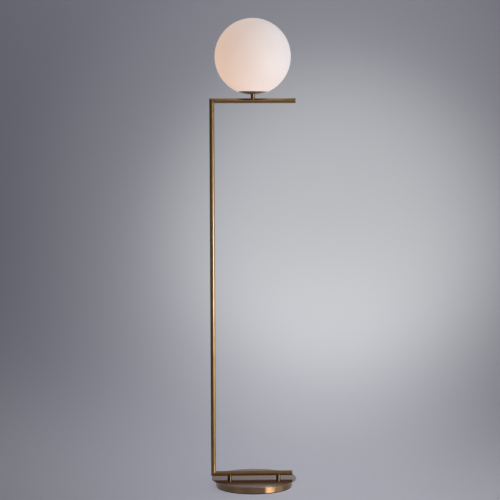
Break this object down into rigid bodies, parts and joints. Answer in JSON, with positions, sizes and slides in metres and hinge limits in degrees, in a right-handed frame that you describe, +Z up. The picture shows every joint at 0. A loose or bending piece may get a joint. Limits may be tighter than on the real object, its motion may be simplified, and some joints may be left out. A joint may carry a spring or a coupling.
{
  "type": "floor lamp",
  "caption": "Floor lamp: a square-cornered brass tube frame on a round weighted base carries an opal glass globe in a shallow saucer on its upper arm.",
  "frame": {"origin": "on the floor, on the common axis of the globe and the round base", "axes": "+Z up, +X from the upright towards the arms' open ends, +Y to the side with the cord inlet"},
  "size_m": [0.284, 0.282, 1.55],
  "materials": {
    "foot_rubber": "matt",
    "zinc_steel": "satin",
    "cast_weight": "rough",
    "antique_brass": "brushed, darkened",
    "polished_brass": "polished",
    "black_plastic": "matt",
    "white_plastic": "matt",
    "lead_sheath": "matt",
    "holder_ceramic": "unglazed",
    "contact_brass": "satin",
    "contact_metal": "satin",
    "bulb_black_glass": "gloss",
    "nickel_cap": "satin",
    "bulb_diffuser": "satin",
    "gasket_rubber": "matt",
    "opal_glass": "satin opal"
  },
  "bodies": {
    "stand": {"base_pad": "foot_rubber", "base_cover": "zinc_steel", "base_weight": "cast_weight", "base_drum": "antique_brass", "top_plate": "polished_brass", "cord_inlet_bush": "black_plastic", "cord_clamp": "black_plastic", "cord_clamp_screws": "zinc_steel", "terminal_block": "white_plastic", "terminal_screws": "zinc_steel", "left_post": "antique_brass", "right_post": "antique_brass", "left_post_nipple": "zinc_steel", "right_post_nipple": "zinc_steel", "base_washers": "zinc_steel", "base_nuts": "zinc_steel", "lower_arm": "antique_brass", "upright": "antique_brass", "upper_arm": "antique_brass", "lower_end_cap": "antique_brass", "upper_end_cap": "antique_brass", "inner_lead": "lead_sheath", "stem": "antique_brass", "stem_nipple": "zinc_steel", "saucer": "antique_brass", "gallery": "zinc_steel", "gallery_washer": "zinc_steel", "gallery_nut": "zinc_steel", "lampholder_base": "black_plastic", "lampholder_sleeve": "black_plastic", "lampholder_insert": "holder_ceramic", "lampholder_screw_shell": "contact_brass", "lampholder_centre_contact": "contact_brass"},
    "gasket": {"globe_gasket": "gasket_rubber"},
    "globe": {"globe": "opal_glass"},
    "bulb_tip": {"bulb_tip": "contact_metal"},
    "bulb": {"bulb_insulator": "bulb_black_glass", "bulb_cap": "nickel_cap", "bulb_housing": "white_plastic", "bulb_dome": "bulb_diffuser"}
  },
  "joints": [
    {"name": "globe_lift", "type": "slide", "parent": "stand", "child": "gasket", "axis": [0, 0, 1], "range_m": [0, 0.17]},
    {"name": "globe_turn", "type": "hinge", "parent": "gasket", "child": "globe", "pos_m": [0, 0, 1.425], "axis": [0, 0, 1], "range_deg": [0, 360]},
    {"name": "bulb_rise", "type": "slide", "parent": "stand", "child": "bulb_tip", "axis": [0, 0, 1], "range_m": [0, 0.0128]},
    {"name": "bulb_turn", "type": "hinge", "parent": "bulb_tip", "child": "bulb", "pos_m": [0, 0, 1.36], "axis": [0, 0, 1], "range_deg": [0, 1260]}
  ],
  "couplings": [
    {"joint": "bulb_rise", "follows": "bulb_turn", "m_per_rad": 0.0005775}
  ]
}
